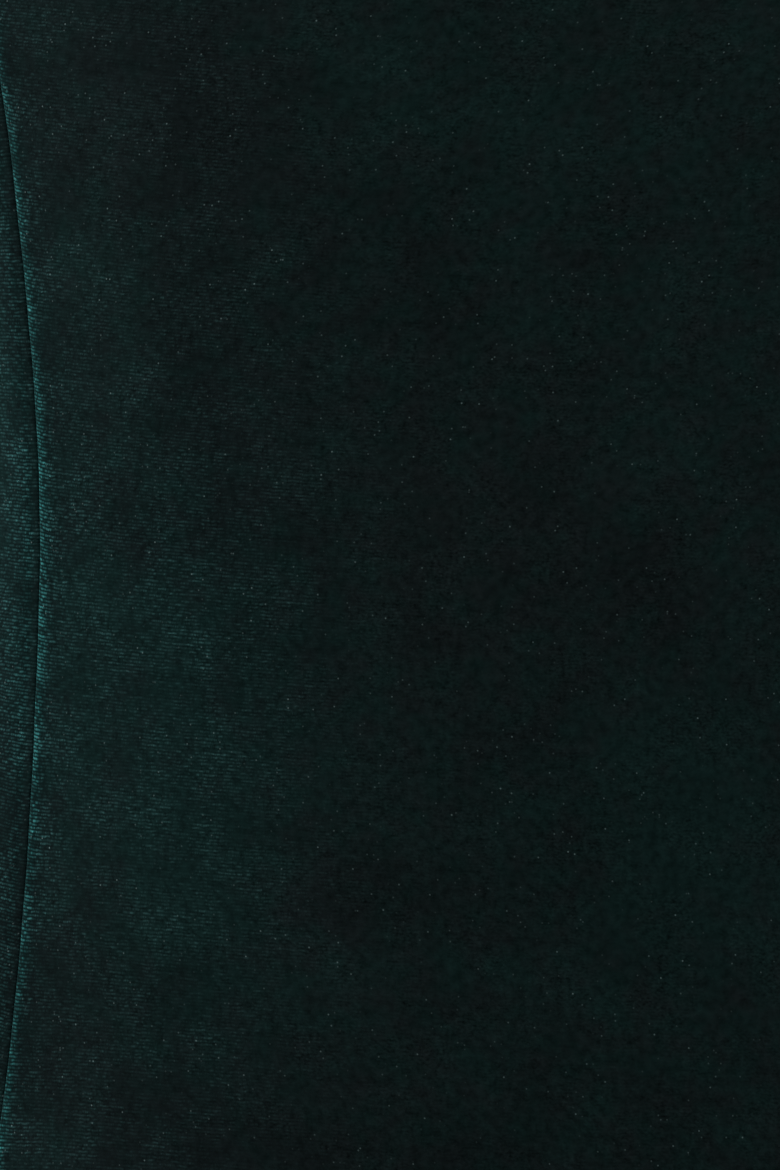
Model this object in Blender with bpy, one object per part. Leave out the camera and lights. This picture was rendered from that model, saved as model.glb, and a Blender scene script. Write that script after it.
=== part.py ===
"""Evening gown in stretch velvet, floor length and sleeveless.

A front and a back panel, each cut in one from shoulder to hem, meet at the side and shoulder seams.
Narrow self-fabric bands finish the neck and the armholes. The gown is hollow and keeps the form it has
when worn. Metres, +Z up: the front faces -Y and the wearer's left is +X. The origin lies midway between
the two shoulder straps, at the level where they rest.
"""

import math
from collections import namedtuple

import bmesh
import bpy
from mathutils import Vector

WALL = 0.0015  # the velvet, pile included
SEAM_GAP = 0.0003  # between pieces that are sewn to each other

SHOULDER_INNER = 0.082  # from the middle to the neck end of the shoulder seam
SHOULDER_OUTER = 0.132  # from the middle to its arm end
SHOULDER_SLOPE = math.radians(19)
STRAP_ARCH = 0.050  # height over which a strap rounds over the shoulder
UNDERARM = -0.205  # height of the armhole's lowest point
BODICE_TOP = -0.245  # height at the middle of the last full row below the neckline

BAND_WIDTH = 0.009
BAND_THICKNESS = 0.0027
BAND_SIDES = 8
BAND_ROUNDING = 0.5  # exponent of the band's rounded section: 1 is an ellipse, 0 a rectangle

COLUMNS = 18  # from the middle of a panel to its side seam
SKIRT_ROWS = 9
SKIRT_TOP = -0.700
BODICE_ROWS = 14
NECK_RISE_ROWS = 3  # between the bodice and the lowest point of the neckline
NECK_ROWS = 4  # along the neckline up to the strap's arch
ARCH_ROWS = 5
UNDERARM_ROW = SKIRT_ROWS + BODICE_ROWS  # counted from the hem, where the side seam ends
NECK_POINT_ROW = UNDERARM_ROW + NECK_RISE_ROWS
UNDERARM_BEND = 6  # how late a row of the bodice rises toward the side; 1 is a straight row
UNDERARM_LIFT_SPAN = 0.120  # height over which the bodice's rows come to rise so

# Level rings from the hem up. The side seam lies at half_width from the middle plane and at seam along
# Y, and the two depths run from there to the middle of the front and back. A squareness of 2 is an
# ellipse.
Section = namedtuple("Section", "name height half_width seam front_depth back_depth squareness")
SECTIONS = (
    Section("hem", -1.470, 0.296, 0.012, 0.274, 0.276, 2.00),
    Section("calf", -1.250, 0.254, 0.010, 0.228, 0.234, 2.00),
    Section("knee", -0.980, 0.209, 0.006, 0.174, 0.188, 2.02),
    Section("thigh", -0.760, 0.182, 0.002, 0.134, 0.158, 2.06),
    Section("hip", -0.585, 0.1720, 0.000, 0.116, 0.144, 2.12),
    Section("high hip", -0.480, 0.1430, -0.003, 0.101, 0.116, 2.14),
    Section("waist", -0.385, 0.1310, 0.000, 0.096, 0.088, 2.12),
    Section("ribs", -0.320, 0.1360, 0.001, 0.108, 0.092, 2.12),
    Section("bust", -0.258, 0.1490, 0.002, 0.133, 0.103, 2.12),
    Section("underarm", -0.205, 0.1560, 0.003, 0.130, 0.106, 2.14),
    Section("chest", -0.150, 0.1600, 0.002, 0.112, 0.107, 2.18),
    Section("collarbone", -0.080, 0.1630, 0.001, 0.087, 0.098, 2.20),
    Section("shoulder", 0.000, 0.1640, 0.000, 0.064, 0.072, 2.20),
)

# Soft flutes of the flared skirt. The angle runs from the middle of the front toward the wearer's
# left, spread is half the flute's width, depth is its height at the hem and top is where it starts.
Flute = namedtuple("Flute", "angle spread depth top")
FLUTES = (
    Flute(-76, 15, 0.025, -0.84),
    Flute(-45, 17, 0.036, -0.70),
    Flute(-13, 15, 0.027, -0.80),
    Flute(18, 16, 0.034, -0.73),
    Flute(49, 15, 0.029, -0.77),
    Flute(77, 13, 0.023, -0.88),
    Flute(106, 16, 0.032, -0.76),
    Flute(137, 15, 0.037, -0.71),
    Flute(166, 14, 0.028, -0.82),
    Flute(195, 15, 0.035, -0.72),
    Flute(226, 16, 0.030, -0.78),
    Flute(256, 14, 0.026, -0.85),
)
FLUTE_GROWTH = 1.25  # exponent of a flute's growth from its top to the hem

# How each panel is cut. Facing is -1 toward the front and 1 toward the back, neck_depth is how far its
# neckline drops, and across is half its width between the armholes at their narrowest.
Cut = namedtuple("Cut", "name facing neck_depth across")
FRONT = Cut("front", -1, 0.175, 0.124)
BACK = Cut("back", 1, 0.135, 0.131)
NECK_CURVE = 0.92  # exponent of the neckline: 1 is a straight V
ARMHOLE_NARROWEST = 0.55  # share of the armhole's height where it cuts in furthest
ARMHOLE_ROW_SPREAD = 1.7  # exponent that sets a panel's rows closer together at the underarm

TURN_STEP = 1e-4  # radians, for reading the surface's direction
LEVEL_STEP = 1e-5
SHARP_ANGLE = math.radians(40)  # edges sharper than this aren't shaded smooth

VELVET = (0.006, 0.016, 0.017, 1.0)
BAND_VELVET = (0.005, 0.013, 0.014, 1.0)


def smoothstep(value):
    """0 to 1 with level ends."""
    value = min(max(value, 0.0), 1.0)
    return value * value * (3 - 2 * value)


def section_slope(index, field):
    """The slope of one column of the table at one of its rows."""
    below = SECTIONS[max(index - 1, 0)]
    above = SECTIONS[min(index + 1, len(SECTIONS) - 1)]
    return (getattr(above, field) - getattr(below, field)) / (above.height - below.height)


def section_value(height, field):
    """One column of the table at any height, on a smooth curve through its rows."""
    index = 0
    while index < len(SECTIONS) - 2 and height > SECTIONS[index + 1].height:
        index += 1
    low, high = SECTIONS[index], SECTIONS[index + 1]
    span = high.height - low.height
    t = (height - low.height) / span
    start, end = getattr(low, field), getattr(high, field)
    rise = section_slope(index, field) * span
    arrive = section_slope(index + 1, field) * span
    return (
        start * (2 * t**3 - 3 * t**2 + 1)
        + rise * (t**3 - 2 * t**2 + t)
        + end * (3 * t**2 - 2 * t**3)
        + arrive * (t**3 - t**2)
    )


def flute_height(turn, height):
    """How far the skirt's flutes stand out at one angle and height."""
    total = 0.0
    for flute in FLUTES:
        if height >= flute.top:
            continue
        away = (math.degrees(turn) - flute.angle + 180) % 360 - 180
        if abs(away) >= flute.spread:
            continue
        grown = ((flute.top - height) / (flute.top - SECTIONS[0].height)) ** FLUTE_GROWTH
        total += flute.depth * grown * 0.5 * (1 + math.cos(math.pi * away / flute.spread))
    return total


def over_shoulder(level):
    """The height at a level, and the share of the gown's depth that is left there. The two differ from
    the level and 1 only over the straps' arch, a quarter turn that ends at the shoulder seam."""
    if level <= -STRAP_ARCH:
        return level, 1.0
    arch = math.pi / 2 * (level + STRAP_ARCH) / STRAP_ARCH
    return -STRAP_ARCH * (1 - math.sin(arch)), math.cos(arch)


def gown_point(turn, level):
    """A point on the outer face. Turn is the angle from the middle of the front toward the wearer's
    left, and level runs from the hem's height to 0 at the shoulder seam."""
    height, closing = over_shoulder(level)
    power = 2 / section_value(height, "squareness")
    side, ahead = math.sin(turn), math.cos(turn)
    depth = section_value(height, "front_depth" if ahead > 0 else "back_depth")
    x = math.copysign(abs(side) ** power, side) * section_value(height, "half_width")
    y = section_value(height, "seam") - math.copysign(abs(ahead) ** power, ahead) * depth * closing
    flute = flute_height(turn, height)
    if flute:
        stretch = 1 + flute / math.hypot(x, y)
        x, y = x * stretch, y * stretch
    raised = smoothstep((height - UNDERARM) / -UNDERARM)
    drop = math.tan(SHOULDER_SLOPE) * (abs(x) - SHOULDER_INNER) * raised
    return Vector((x, y, height - drop))


def gown_normal(turn, level):
    """The outward normal there, from points a little to each side."""
    along = gown_point(turn + TURN_STEP, level) - gown_point(turn - TURN_STEP, level)
    up = gown_point(turn, level + LEVEL_STEP) - gown_point(turn, level - LEVEL_STEP)
    return along.cross(up).normalized()


def turn_of(cut, side, angle):
    """The angle round the gown that lies so far from a panel's middle, on the left (1) or right (-1)."""
    return side * (angle if cut.facing < 0 else math.pi - angle)


def angle_at(width, level):
    """The angle from a panel's middle at which the gown is this far from the middle plane."""
    height, _ = over_shoulder(level)
    share = min(width / section_value(height, "half_width"), 1.0)
    return math.asin(share ** (section_value(height, "squareness") / 2))


def neck_width(cut, level):
    """Half the neck opening's width."""
    return SHOULDER_INNER * ((level + cut.neck_depth) / cut.neck_depth) ** NECK_CURVE


def armhole_width(cut, level):
    """From the middle plane to the armhole's edge."""
    share = (level - UNDERARM) / -UNDERARM
    if share < ARMHOLE_NARROWEST:
        inward = (1 - share / ARMHOLE_NARROWEST) ** 2
        return cut.across + (section_value(UNDERARM, "half_width") - cut.across) * inward
    outward = smoothstep((share - ARMHOLE_NARROWEST) / (1 - ARMHOLE_NARROWEST))
    return cut.across + (SHOULDER_OUTER - cut.across) * outward


# A row of a panel runs from its middle or neckline to its side seam or armhole. Bend is the exponent
# with which its level passes from one end's to the other's.
Row = namedtuple("Row", "inner_level inner_angle outer_level outer_angle bend")


def lower_rows():
    """Rows from the hem to the bodice's top. The last ones rise at the side to meet the underarm."""
    rows = []
    hem = SECTIONS[0].height
    levels = [hem + (SKIRT_TOP - hem) * i / SKIRT_ROWS for i in range(SKIRT_ROWS)]
    levels += [
        SKIRT_TOP + (BODICE_TOP - SKIRT_TOP) * i / BODICE_ROWS for i in range(BODICE_ROWS + 1)
    ]
    for level in levels:
        lift = (UNDERARM - BODICE_TOP) * smoothstep((level - BODICE_TOP) / UNDERARM_LIFT_SPAN + 1)
        rows.append(Row(level, 0.0, level + lift, math.pi / 2, UNDERARM_BEND))
    return rows


def upper_rows(cut):
    """Rows from the bodice's top to the shoulder seam, between the neckline and the armhole."""
    rows = []
    below_arch = NECK_RISE_ROWS + NECK_ROWS
    for i in range(1, below_arch + ARCH_ROWS + 1):
        if i <= NECK_RISE_ROWS:
            share = i / NECK_RISE_ROWS
            inner = BODICE_TOP + (-cut.neck_depth - BODICE_TOP) * share
        elif i <= below_arch:
            share = (i - NECK_RISE_ROWS) / NECK_ROWS
            inner = -cut.neck_depth + (cut.neck_depth - STRAP_ARCH) * share
        else:
            inner = -STRAP_ARCH * (1 - (i - below_arch) / ARCH_ROWS)
        outer = inner
        if i <= below_arch:
            outer = UNDERARM + (-STRAP_ARCH - UNDERARM) * (i / below_arch) ** ARMHOLE_ROW_SPREAD
        inner_angle = 0.0
        if i > NECK_RISE_ROWS:
            inner_angle = angle_at(neck_width(cut, inner), inner)
        outer_angle = angle_at(armhole_width(cut, outer), outer)
        bend = UNDERARM_BEND + (1 - UNDERARM_BEND) * smoothstep(i / below_arch)
        rows.append(Row(inner, inner_angle, outer, outer_angle, bend))
    return rows


def row_place(cut, side, row, share):
    """The turn and level at one share of a row, from its inner end (0) to its outer end (1)."""
    angle = row.inner_angle + (row.outer_angle - row.inner_angle) * share
    level = row.inner_level + (row.outer_level - row.inner_level) * share**row.bend
    return turn_of(cut, side, angle), level


def add_panel(cut, material, collection):
    """One panel: its outer face as a grid of rows, its inner face a wall's thickness inside, and the cut
    edges between them."""
    rows = lower_rows() + upper_rows(cut)
    half_gap = Vector((0, cut.facing * SEAM_GAP / 2, 0))
    shape = bmesh.new()
    outer, inner = {}, {}
    for side in (-1, 1):
        for r, row in enumerate(rows):
            for c in range(COLUMNS + 1):
                if side > 0 and c == 0 and r <= NECK_POINT_ROW:
                    outer[side, r, c] = outer[-side, r, c]
                    continue
                turn, level = row_place(cut, side, row, c / COLUMNS)
                point = gown_point(turn, level)
                at_side_seam = c == COLUMNS and r <= UNDERARM_ROW
                if at_side_seam or r == len(rows) - 1:
                    point += half_gap
                vertex = shape.verts.new(point)
                outer[side, r, c] = vertex
                inner[vertex] = shape.verts.new(point - gown_normal(turn, level) * WALL)
    for side in (-1, 1):
        for r in range(len(rows) - 1):
            for c in range(COLUMNS):
                cell = ((r, c), (r, c + 1), (r + 1, c + 1), (r + 1, c))
                shape.faces.new([outer[side, *place] for place in cell])
    cut_edges = [edge.verts[:] for edge in shape.edges if edge.is_boundary]
    for face in list(shape.faces):
        shape.faces.new([inner[vertex] for vertex in face.verts])
    for first, second in cut_edges:
        shape.faces.new([first, second, inner[second], inner[first]])
    return finish_piece(cut.name, shape, material, collection)


def finish_piece(name, shape, material, collection):
    """The closed shape, its faces turned outward, as a named object with its material."""
    bmesh.ops.recalc_face_normals(shape, faces=shape.faces)
    mesh = bpy.data.meshes.new(name)
    shape.to_mesh(mesh)
    shape.free()
    mesh.shade_smooth()
    mesh.set_sharp_from_angle(angle=SHARP_ANGLE)
    mesh.materials.append(material)
    piece = bpy.data.objects.new(name, mesh)
    collection.objects.link(piece)
    return piece


def half_edge(cut, side, outer_end):
    """Places along a panel's neckline or armhole, from its lowest point up to the shoulder seam."""
    if outer_end:
        rows = [lower_rows()[-1]] + upper_rows(cut)
        return [row_place(cut, side, row, 1) for row in rows]
    rows = upper_rows(cut)[NECK_RISE_ROWS - 1 :]
    return [row_place(cut, side, row, 0) for row in rows]


def add_band(name, places, middle, material, collection):
    """A band of rounded section round a closed run of places, on the side of them that faces the
    opening's middle. Its corners are mitred."""
    points = [gown_point(turn, level) for turn, level in places]
    normals = [gown_normal(turn, level) for turn, level in places]
    shape = bmesh.new()
    rings = []
    for i, point in enumerate(points):
        before = (point - points[i - 1]).normalized()
        after = (points[(i + 1) % len(points)] - point).normalized()
        across = (before + after).cross(normals[i]).normalized()
        if across.dot(middle - point) < 0:
            across.negate()
        half_bend = before.angle(after) / 2
        mitre = 1 / math.cos(half_bend)
        rings.append(band_ring(shape, point, normals[i], across, mitre))
    for ring, following in zip(rings, rings[1:] + rings[:1]):
        for i in range(BAND_SIDES):
            j = (i + 1) % BAND_SIDES
            shape.faces.new([ring[i], ring[j], following[j], following[i]])
    return finish_piece(name, shape, material, collection)


def band_ring(shape, point, normal, across, mitre):
    """The corners of a band's section beside one point of the panel's edge."""
    full = math.cos(math.pi / BAND_SIDES) ** BAND_ROUNDING
    corners = []
    for i in range(BAND_SIDES):
        angle = 2 * math.pi * (i + 0.5) / BAND_SIDES
        c, s = math.cos(angle), math.sin(angle)
        sideways = math.copysign(abs(c) ** BAND_ROUNDING, c) / full * BAND_WIDTH / 2
        through = math.copysign(abs(s) ** BAND_ROUNDING, s) / full * BAND_THICKNESS / 2
        out = (SEAM_GAP + BAND_WIDTH / 2 + sideways) * mitre
        corners.append(shape.verts.new(point + across * out + normal * (through - WALL / 2)))
    return corners


def neck_places():
    """Once round the neckline: up the front on the left, down the back, and back again on the right."""
    left_front, left_back = half_edge(FRONT, 1, False), half_edge(BACK, 1, False)
    right_front, right_back = half_edge(FRONT, -1, False), half_edge(BACK, -1, False)
    up_left = left_front + left_back[-2::-1]
    down_right = right_back[1:] + right_front[-2:0:-1]
    return up_left + down_right


def armhole_places(side):
    """Once round an armhole: up the front and down the back."""
    front, back = half_edge(FRONT, side, True), half_edge(BACK, side, True)
    return front + back[-2:0:-1]


def velvet_material(name, colour):
    """Stretch velvet: dark, rough and lit at grazing angles."""
    material = bpy.data.materials.new(name)
    material.use_nodes = True
    shader = material.node_tree.nodes["Principled BSDF"]
    shader.inputs["Base Color"].default_value = colour
    shader.inputs["Roughness"].default_value = 0.9
    shader.inputs["Metallic"].default_value = 0.0
    shader.inputs["Sheen Weight"].default_value = 0.6
    return material


def build_gown():
    """All the pieces, in a collection of their own."""
    for leftover in list(bpy.data.objects):
        bpy.data.objects.remove(leftover, do_unlink=True)
    gown = bpy.data.collections.new("evening gown")
    bpy.context.scene.collection.children.link(gown)

    for cut in (FRONT, BACK):
        add_panel(cut, velvet_material(f"{cut.name} velvet", VELVET), gown)

    neck_middle = Vector((0, 0, -STRAP_ARCH))
    neck_material = velvet_material("neck band velvet", BAND_VELVET)
    add_band("neck_band", neck_places(), neck_middle, neck_material, gown)
    for side, word in ((1, "left"), (-1, "right")):
        arm_middle = Vector((side * SHOULDER_OUTER, 0, UNDERARM / 2))
        arm_material = velvet_material(f"{word} armhole band velvet", BAND_VELVET)
        add_band(f"armhole_band_{word}", armhole_places(side), arm_middle, arm_material, gown)


build_gown()
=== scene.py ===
"""A floor-length evening gown in dark stretch velvet, hollow as worn, on a pale studio floor."""

import math
from collections import namedtuple
from functools import lru_cache, partial

import bmesh
import bpy
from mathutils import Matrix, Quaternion, Vector, noise


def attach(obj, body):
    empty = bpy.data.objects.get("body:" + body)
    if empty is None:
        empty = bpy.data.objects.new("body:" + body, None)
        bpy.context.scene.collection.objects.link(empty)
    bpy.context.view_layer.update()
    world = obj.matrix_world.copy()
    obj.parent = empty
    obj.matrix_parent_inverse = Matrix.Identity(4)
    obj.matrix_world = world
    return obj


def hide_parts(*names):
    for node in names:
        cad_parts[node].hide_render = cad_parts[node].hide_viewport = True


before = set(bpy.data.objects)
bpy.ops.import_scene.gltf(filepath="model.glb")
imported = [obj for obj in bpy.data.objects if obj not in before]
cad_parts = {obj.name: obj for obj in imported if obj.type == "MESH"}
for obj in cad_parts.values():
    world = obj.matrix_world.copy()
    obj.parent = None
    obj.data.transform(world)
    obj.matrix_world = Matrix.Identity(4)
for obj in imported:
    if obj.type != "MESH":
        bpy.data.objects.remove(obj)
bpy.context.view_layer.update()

# -------------------------------------------------------------------------------------------------
# Front and back panels
# Each is one piece of stretch velvet from shoulder to hem: a short dense pile on a fine jersey.
# They are seamed at the sides and shoulders, and the hem is turned up and caught by hand.
# -------------------------------------------------------------------------------------------------

WALL = 0.0015  # the velvet, pile included
SEAM_GAP = 0.00004  # between the panels at the outside of a seam, which is drawn shut inside
SHOULDER_INNER = 0.082  # from the middle to the neck end of the shoulder seam
SHOULDER_OUTER = 0.132
SHOULDER_SLOPE = math.radians(19)
STRAP_ARCH = 0.050  # height over which a strap rounds over the shoulder
UNDERARM = -0.205
BODICE_TOP = -0.245  # height at the middle of the last full row below the neckline
UNDERARM_BEND = 6  # power of the curve by which a row rises to the underarm near its outer end
UNDERARM_LIFT_SPAN = 0.120  # height below the bodice's top over which rows come to rise so

# Level rings from the hem up. The side seam lies at half_width from the middle plane and at seam
# along Y, and the two depths run from there to the middle of the front and back.
Section = namedtuple("Section", "height half_width seam front_depth back_depth squareness")
SECTIONS = (
    Section(-1.470, 0.296, 0.012, 0.274, 0.276, 2.00),
    Section(-1.250, 0.254, 0.010, 0.228, 0.234, 2.00),
    Section(-0.980, 0.209, 0.006, 0.174, 0.188, 2.02),
    Section(-0.760, 0.182, 0.002, 0.134, 0.158, 2.06),
    Section(-0.585, 0.1720, 0.000, 0.116, 0.144, 2.12),
    Section(-0.480, 0.1430, -0.003, 0.101, 0.116, 2.14),
    Section(-0.385, 0.1310, 0.000, 0.096, 0.088, 2.12),
    Section(-0.320, 0.1360, 0.001, 0.108, 0.092, 2.12),
    Section(-0.258, 0.1490, 0.002, 0.133, 0.103, 2.12),
    Section(-0.205, 0.1560, 0.003, 0.130, 0.106, 2.14),
    Section(-0.150, 0.1600, 0.002, 0.112, 0.107, 2.18),
    Section(-0.080, 0.1630, 0.001, 0.087, 0.098, 2.20),
    Section(0.000, 0.1640, 0.000, 0.064, 0.072, 2.20),
)
HEM, WAIST = SECTIONS[0].height, SECTIONS[6].height

# Soft flutes of the flared skirt. The angle runs from the middle of the front toward the wearer's
# left, spread is half the flute's width, depth is its height at the hem and top is where it starts.
Flute = namedtuple("Flute", "angle spread depth top")
FLUTES = (
    Flute(-76, 15, 0.025, -0.84),
    Flute(-45, 17, 0.036, -0.70),
    Flute(-13, 15, 0.027, -0.80),
    Flute(18, 16, 0.034, -0.73),
    Flute(49, 15, 0.029, -0.77),
    Flute(77, 13, 0.023, -0.88),
    Flute(106, 16, 0.032, -0.76),
    Flute(137, 15, 0.037, -0.71),
    Flute(166, 14, 0.028, -0.82),
    Flute(195, 15, 0.035, -0.72),
    Flute(226, 16, 0.030, -0.78),
    Flute(256, 14, 0.026, -0.85),
)
FLUTE_GROWTH = 1.25  # power by which a flute deepens from its top to the hem

# Each panel faces one way along Y. Its neckline ends in a V at neck_depth below the shoulders, and
# across is half its width where the armholes come nearest to each other.
Cut = namedtuple("Cut", "name facing neck_depth across")
FRONT = Cut("front", -1, 0.175, 0.124)
BACK = Cut("back", 1, 0.135, 0.131)
NECK_CURVE = 0.92  # power of the V's sides, so nearly straight
ARMHOLE_NARROWEST = 0.55  # share of its height at which an armhole is nearest to the middle
ARMHOLE_ROW_SPREAD = 1.7  # power by which rows open out up the armhole


def smoothstep(value):
    """0 to 1 with level ends."""
    value = min(max(value, 0.0), 1.0)
    return value * value * (3 - 2 * value)


def degrees_past(turn, angle):
    """How many degrees a turn is past an angle, from -180 to 180."""
    return (math.degrees(turn) - angle + 180) % 360 - 180


@lru_cache(maxsize=None)
def section_value(height, column):
    """One column of the table at any height, on a smooth curve through its rows."""
    last = len(SECTIONS) - 1
    index = 0
    while index < last - 1 and height > SECTIONS[index + 1].height:
        index += 1
    ends, slopes = [], []
    for i in (index, index + 1):
        below, above = SECTIONS[max(i - 1, 0)], SECTIONS[min(i + 1, last)]
        ends.append(SECTIONS[i][column])
        slopes.append((above[column] - below[column]) / (above.height - below.height))
    span = SECTIONS[index + 1].height - SECTIONS[index].height
    t = (height - SECTIONS[index].height) / span
    return (
        ends[0] * (2 * t**3 - 3 * t**2 + 1)
        + slopes[0] * span * (t**3 - 2 * t**2 + t)
        + ends[1] * (3 * t**2 - 2 * t**3)
        + slopes[1] * span * (t**3 - t**2)
    )


HALF_WIDTH, SEAM_LINE, FRONT_DEPTH, BACK_DEPTH, SQUARENESS = 1, 2, 3, 4, 5


def flute_height(turn, height):
    """How far the skirt's flutes stand out at one angle and height."""
    total = 0.0
    for flute in FLUTES:
        away = degrees_past(turn, flute.angle)
        if height >= flute.top or abs(away) >= flute.spread:
            continue
        grown = ((flute.top - height) / (flute.top - HEM)) ** FLUTE_GROWTH
        total += flute.depth * grown * 0.5 * (1 + math.cos(math.pi * away / flute.spread))
    return total


def over_shoulder(level):
    """The height at a level, and the share of the gown's depth that is left there."""
    if level <= -STRAP_ARCH:
        return level, 1.0
    arch = math.pi / 2 * (level + STRAP_ARCH) / STRAP_ARCH
    return -STRAP_ARCH * (1 - math.sin(arch)), math.cos(arch)


def gown_point(turn, level):
    """A point on the smooth outer form. Turn is the angle from the middle of the front toward the
    wearer's left, and level runs from the hem's height to 0 at the shoulder seam."""
    height, closing = over_shoulder(level)
    power = 2 / section_value(height, SQUARENESS)
    side, ahead = math.sin(turn), math.cos(turn)
    depth = section_value(height, FRONT_DEPTH if ahead > 0 else BACK_DEPTH)
    x = math.copysign(abs(side) ** power, side) * section_value(height, HALF_WIDTH)
    y = section_value(height, SEAM_LINE)
    y -= math.copysign(abs(ahead) ** power, ahead) * depth * closing
    flute = flute_height(turn, height)
    if flute:
        stretch = 1 + flute / math.hypot(x, y)
        x, y = x * stretch, y * stretch
    raised = smoothstep((height - UNDERARM) / -UNDERARM)
    drop = math.tan(SHOULDER_SLOPE) * (abs(x) - SHOULDER_INNER) * raised
    return Vector((x, y, height - drop))


def gown_normal(turn, level):
    """The outward direction there, from points a little to each side."""
    along = gown_point(turn + 1e-4, level) - gown_point(turn - 1e-4, level)
    up = gown_point(turn, level + 1e-5) - gown_point(turn, level - 1e-5)
    return along.cross(up).normalized()


# Creases where the cloth pulls over the body or falls into a fold. Each is a soft uneven trough
# with a ridge along one side: its middle, in degrees round the gown and height, its slant from
# level, its half length, half width and depth. Depth below 0 is a ridge with a trough beside it.
Crease = namedtuple("Crease", "angle height slant half_length half_width depth")
CREASES = (
    # front, from the side of the bust and across the lap
    Crease(62, -0.292, 38, 0.062, 0.010, 0.0030),
    Crease(70, -0.318, 30, 0.048, 0.008, 0.0022),
    Crease(-58, -0.262, -40, 0.040, 0.009, 0.0020),
    Crease(14, -0.560, 8, 0.090, 0.012, 0.0020),
    Crease(-22, -0.598, -10, 0.080, 0.014, 0.0024),
    Crease(-4, -0.640, 4, 0.095, 0.016, 0.0022),
    Crease(52, -0.520, -34, 0.070, 0.012, 0.0024),
    Crease(-60, -0.545, 36, 0.065, 0.012, 0.0020),
    # left side, where the waist folds on itself
    Crease(88, -0.392, 6, 0.055, 0.007, 0.0028),
    Crease(82, -0.412, -8, 0.048, 0.007, 0.0024),
    Crease(96, -0.366, 12, 0.040, 0.006, 0.0018),
    # back, above and below the waist
    Crease(172, -0.352, 5, 0.090, 0.010, 0.0032),
    Crease(196, -0.378, -6, 0.085, 0.009, 0.0030),
    Crease(160, -0.402, 8, 0.070, 0.009, 0.0024),
    Crease(214, -0.418, -14, 0.060, 0.009, 0.0020),
    Crease(140, -0.330, 22, 0.055, 0.010, 0.0022),
    Crease(228, -0.300, -28, 0.060, 0.011, 0.0022),
    Crease(150, -0.610, -12, 0.085, 0.014, 0.0024),
    Crease(205, -0.640, 10, 0.090, 0.015, 0.0024),
    Crease(128, -0.560, -32, 0.060, 0.012, 0.0020),
    # straps, drawn a little by the armholes
    Crease(40, -0.120, 62, 0.040, 0.007, 0.0014),
    Crease(-44, -0.132, -58, 0.042, 0.007, 0.0014),
    Crease(140, -0.120, -60, 0.040, 0.007, 0.0013),
    Crease(222, -0.128, 60, 0.040, 0.007, 0.0013),
)
CREASE_REACH = 1.3  # half lengths from its middle, past which a crease is left out
CREASE_BOW = 0.10  # how far its ends bow, in half lengths
RIDGE_AWAY, RIDGE_WIDTH, RIDGE_HEIGHT = 2.1, 1.3, 0.55  # in the trough's widths and depth
ROUND_SHARE = 0.86  # of the gown's half width, for the radius of a circle as long as its girth


def girth_radius(level):
    """The radius of a circle about as long as the gown's girth at a level."""
    return section_value(round(level, 3), HALF_WIDTH) * ROUND_SHARE


def crease_height(turn, level):
    """How far the creases move the cloth out at one place."""
    total = 0.0
    radius = girth_radius(level)
    for crease in CREASES:
        up = level - crease.height
        side = math.radians(degrees_past(turn, crease.angle)) * radius
        if max(abs(up), abs(side)) > crease.half_length * CREASE_REACH:
            continue
        slant = math.radians(crease.slant)
        along = side * math.cos(slant) + up * math.sin(slant)
        bow = CREASE_BOW * along * along / crease.half_length
        across = up * math.cos(slant) - side * math.sin(slant) + bow
        fade = smoothstep(1.15 - abs(along) / crease.half_length)
        wide = crease.half_width * (0.75 + 0.5 * fade)
        trough = math.exp(-((across / wide) ** 2))
        ridge = math.exp(-(((across - RIDGE_AWAY * wide) / (RIDGE_WIDTH * wide)) ** 2))
        total -= crease.depth * fade * (trough - RIDGE_HEIGHT * ridge)
    return total


# Height of each kind of small relief, with its waves in a metre or, for the folds, round the hem
BROAD_UNEVEN, BROAD_WAVES = 0.0007, 14
FINE_UNEVEN, FINE_WAVES = 0.00022, 42
FOLD_DEPTH, FOLDS_ROUND = 0.0042, 19
SWELL_DEPTH, SWELL_WAVES = 0.0030, 9
FOLDS_TOP, FOLDS_FALL = -0.62, 0.85  # where folds and swells begin, and over what height they grow


def cloth_height(turn, level, point):
    """All the small relief of the worn cloth at one place: creases, the unevenness of cloth over a
    body, and minor folds between the flutes that grow toward the hem."""
    height = crease_height(turn, level)
    height += BROAD_UNEVEN * noise.noise(point * BROAD_WAVES)
    height += FINE_UNEVEN * noise.noise(point * FINE_WAVES)
    fall = smoothstep((FOLDS_TOP - level) / FOLDS_FALL)
    if fall > 0:
        # the folds wander as they fall, and aren't evenly far apart
        sway = turn * FOLDS_ROUND + 2.2 * noise.noise(Vector((0.5, 0.2, level * 3.1)))
        sway += 1.6 * noise.noise(Vector((math.cos(turn), math.sin(turn), level * 1.2)))
        height += fall * FOLD_DEPTH * math.sin(sway)
        height += fall * SWELL_DEPTH * noise.noise(point * SWELL_WAVES)
    return height


def rolled_edge(distance, width, depth):
    """How far the cloth has turned in at a distance from an edge that it rolls into."""
    if distance >= width:
        return 0.0
    return depth * (1 - math.sqrt(max(0.0, 1 - (1 - distance / width) ** 2)))


def angle_at(width, level):
    """The angle from a panel's middle at which the gown is this far from the middle plane."""
    height, _ = over_shoulder(level)
    share = min(width / section_value(height, HALF_WIDTH), 1.0)
    return math.asin(share ** (section_value(height, SQUARENESS) / 2))


def neck_width(cut, level):
    """Half the neck opening's width."""
    height, _ = over_shoulder(level)
    share = max(0.0, (height + cut.neck_depth) / cut.neck_depth)
    return SHOULDER_INNER * share**NECK_CURVE


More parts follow.
